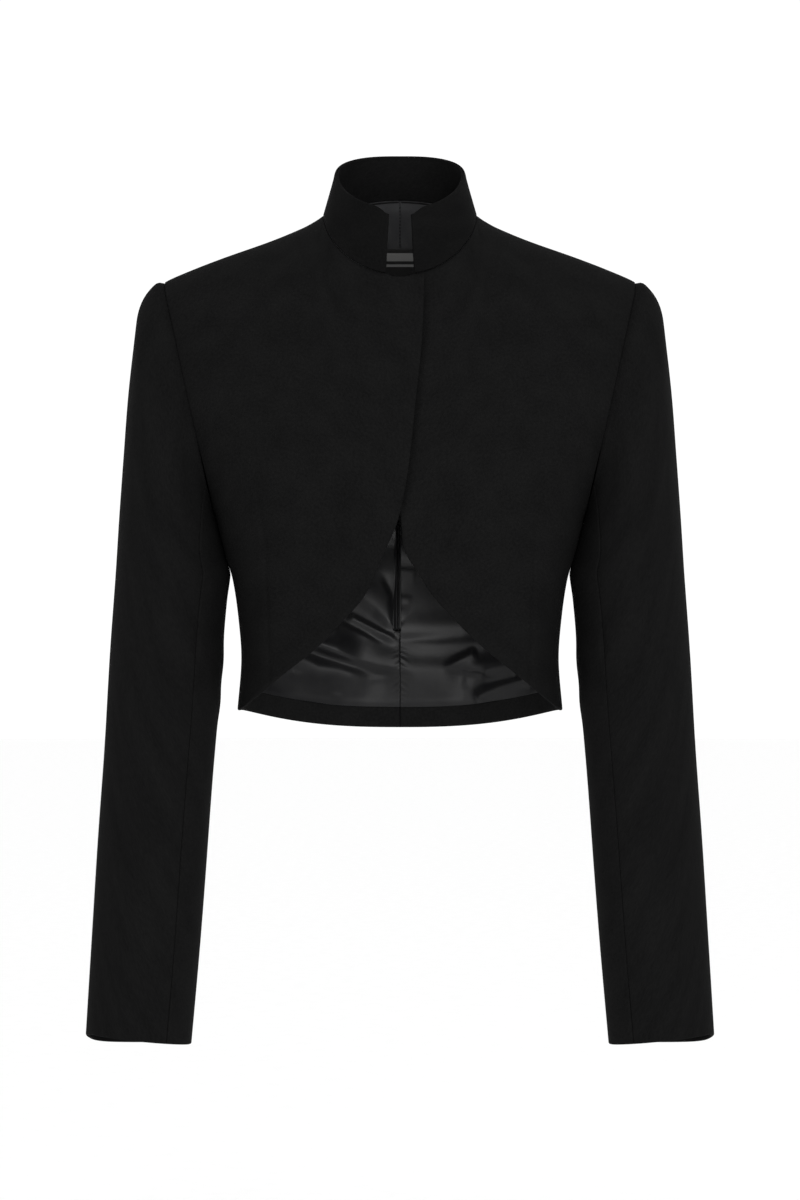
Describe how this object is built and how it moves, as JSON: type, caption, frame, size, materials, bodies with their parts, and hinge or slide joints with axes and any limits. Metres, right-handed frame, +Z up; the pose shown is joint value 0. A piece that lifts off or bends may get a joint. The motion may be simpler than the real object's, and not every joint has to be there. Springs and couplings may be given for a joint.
{
  "type": "cropped jacket",
  "caption": "Cropped tailored wool jacket with a stand collar, padded shoulders, long sleeves and swept-back fronts over a satin lining.",
  "frame": {"origin": "middle of the neck opening, at the height where the shoulder line meets the collar", "axes": "+X to the wearer's left, +Y to the wearer's back, +Z up towards the collar"},
  "size_m": [0.5278, 0.2171, 0.7593],
  "materials": {
    "wool": "matte black wool crepe",
    "satin": "charcoal satin with a soft shine",
    "label": "fine black weave with plain light bars"
  },
  "bodies": {
    "root": {"front_right": "wool", "front_left": "wool", "back_right": "wool", "back_left": "wool", "top_sleeve_right": "wool", "top_sleeve_left": "wool", "under_sleeve_right": "wool", "under_sleeve_left": "wool", "collar_face": "wool", "collar_backing": "wool", "back_lining_right": "satin", "back_lining_left": "satin", "lining_pleat": "satin", "neck_label": "label"}
  },
  "joints": []
}
